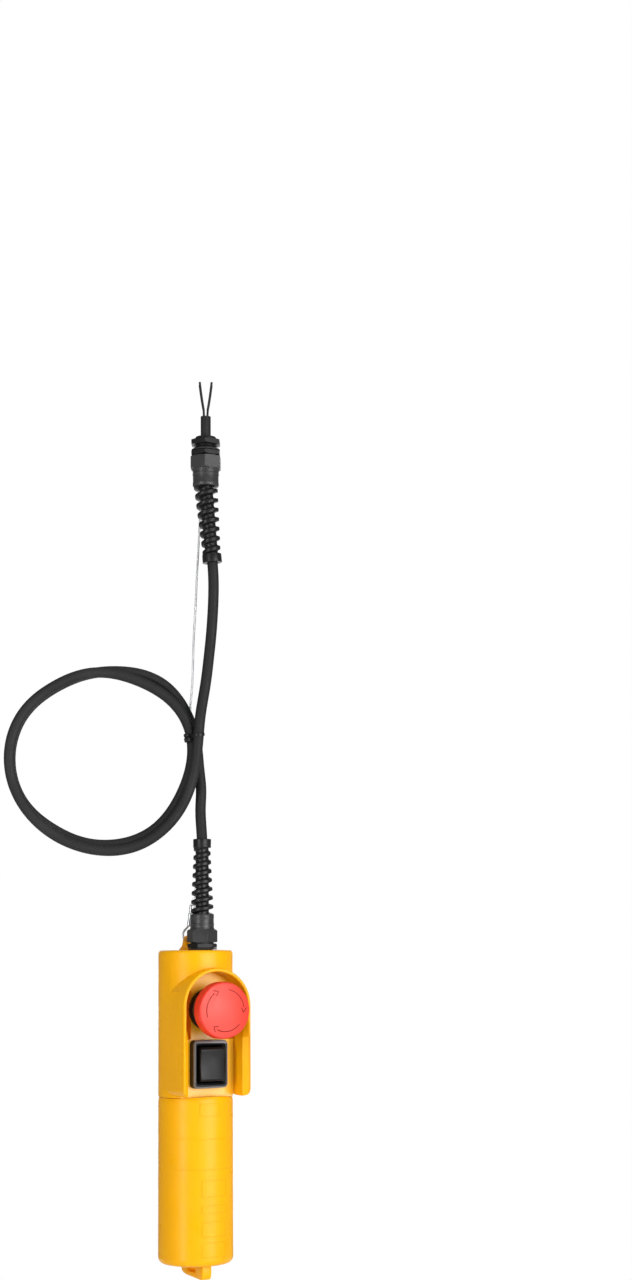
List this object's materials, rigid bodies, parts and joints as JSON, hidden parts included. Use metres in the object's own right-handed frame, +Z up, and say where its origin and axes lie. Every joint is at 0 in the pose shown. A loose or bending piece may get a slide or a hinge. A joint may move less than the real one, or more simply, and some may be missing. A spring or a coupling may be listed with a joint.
{
  "type": "pendant control station",
  "caption": "Hanging hoist control: yellow tube handle with a hooded panel, red mushroom stop, up-down rocker, cable glands, coiled cable and safety wire.",
  "frame": {"origin": "centre of the seat where the upper cable gland meets the hoist", "axes": "+Z up, through the gland and into the hoist; the control panel faces -Y; +X to the right of somebody who faces the panel"},
  "size_m": [0.1513, 0.1062, 0.6281],
  "materials": {
    "yellow_plastic": "moulded, slightly glossy yellow",
    "red_plastic": "smooth red",
    "black_plastic": "fine matt black",
    "grey_plastic": "grey",
    "white_plastic": "natural white",
    "cable_jacket": "black-grey cable sheath",
    "black_rubber": "black rubber",
    "foam": "dark grey foam",
    "spring_steel": "bright steel",
    "brass": "brass",
    "aluminium": "plain aluminium",
    "wire_steel": "galvanised steel wire",
    "brown_insulation": "brown insulation",
    "blue_insulation": "blue insulation",
    "black_insulation": "black insulation",
    "grey_insulation": "grey insulation"
  },
  "bodies": {
    "station": {"cable_coil": "cable_jacket", "cable_hoist_end": "cable_jacket", "cable_lower": "cable_jacket", "cable_pendant_end": "cable_jacket", "cable_tie": "black_plastic", "cable_upper": "cable_jacket", "capacitor": "aluminium", "capacitor_lead_left": "brown_insulation", "capacitor_lead_right": "blue_insulation", "capacitor_pad": "foam", "core_black": "black_insulation", "core_blue": "blue_insulation", "core_brown": "brown_insulation", "core_grey": "grey_insulation", "estop_body": "black_plastic", "estop_contact_block": "black_plastic", "estop_gasket": "black_rubber", "estop_panel_nut": "grey_plastic", "estop_ring": "grey_plastic", "estop_spring": "spring_steel", "estop_terminal_left": "brass", "estop_terminal_right": "brass", "handle_tube": "yellow_plastic", "head_housing": "yellow_plastic", "hoist_gland_body": "black_plastic", "hoist_gland_locknut": "black_plastic", "hoist_gland_nut": "black_plastic", "hoist_gland_seal": "black_rubber", "hoist_gland_washer": "black_rubber", "hoist_wire_ferrule": "aluminium", "hoist_wire_loop": "wire_steel", "pendant_gland_body": "black_plastic", "pendant_gland_locknut": "black_plastic", "pendant_gland_nut": "black_plastic", "pendant_gland_seal": "black_rubber", "pendant_gland_washer": "black_rubber", "pendant_wire_ferrule": "aluminium", "pendant_wire_loop": "wire_steel", "rocker_frame": "black_plastic", "rocker_tab_left_bottom": "brass", "rocker_tab_left_middle": "brass", "rocker_tab_left_top": "brass", "rocker_tab_right_bottom": "brass", "rocker_tab_right_middle": "brass", "rocker_tab_right_top": "brass", "safety_wire_coil": "wire_steel", "safety_wire_lower": "wire_steel", "safety_wire_upper": "wire_steel", "tube_screw_left": "spring_steel", "tube_screw_right": "spring_steel", "tube_seal": "black_rubber"},
    "estop_plunger": {"estop_stem": "white_plastic"},
    "estop_head": {"estop_mushroom": "red_plastic"},
    "estop_contacts": {"estop_contact_plunger": "white_plastic", "estop_contact_bridge": "brass"},
    "rocker": {"rocker_actuator": "black_plastic", "rocker_plunger_left": "white_plastic", "rocker_plunger_right": "white_plastic"},
    "rocker_contacts": {"rocker_seesaw_left": "brass", "rocker_seesaw_right": "brass"}
  },
  "joints": [
    {"name": "estop_push", "type": "slide", "parent": "station", "child": "estop_plunger", "axis": [0, 1, 0], "range_m": [0, 0.0055]},
    {"name": "estop_twist", "type": "hinge", "parent": "estop_plunger", "child": "estop_head", "pos_m": [-0.0025, 0, -0.3953], "axis": [0, 1, 0], "range_deg": [0, 35], "stiffness_Nm_per_rad": 0.05},
    {"name": "estop_contact_travel", "type": "slide", "parent": "station", "child": "estop_contacts", "axis": [0, 1, 0], "range_m": [0, 0.0055]},
    {"name": "rocker_tilt", "type": "hinge", "parent": "station", "child": "rocker", "pos_m": [-0.0025, -0.0065, -0.4326], "axis": [1, 0, 0], "range_deg": [-10, 10], "stiffness_Nm_per_rad": 0.08},
    {"name": "rocker_contact_tilt", "type": "hinge", "parent": "station", "child": "rocker_contacts", "pos_m": [-0.0025, 0.0061, -0.4326], "axis": [1, 0, 0], "range_deg": [-6, 6]}
  ],
  "couplings": [
    {"joint": "estop_contact_travel", "follows": "estop_push", "ratio": 1},
    {"joint": "rocker_contact_tilt", "follows": "rocker_tilt", "ratio": -0.6}
  ]
}
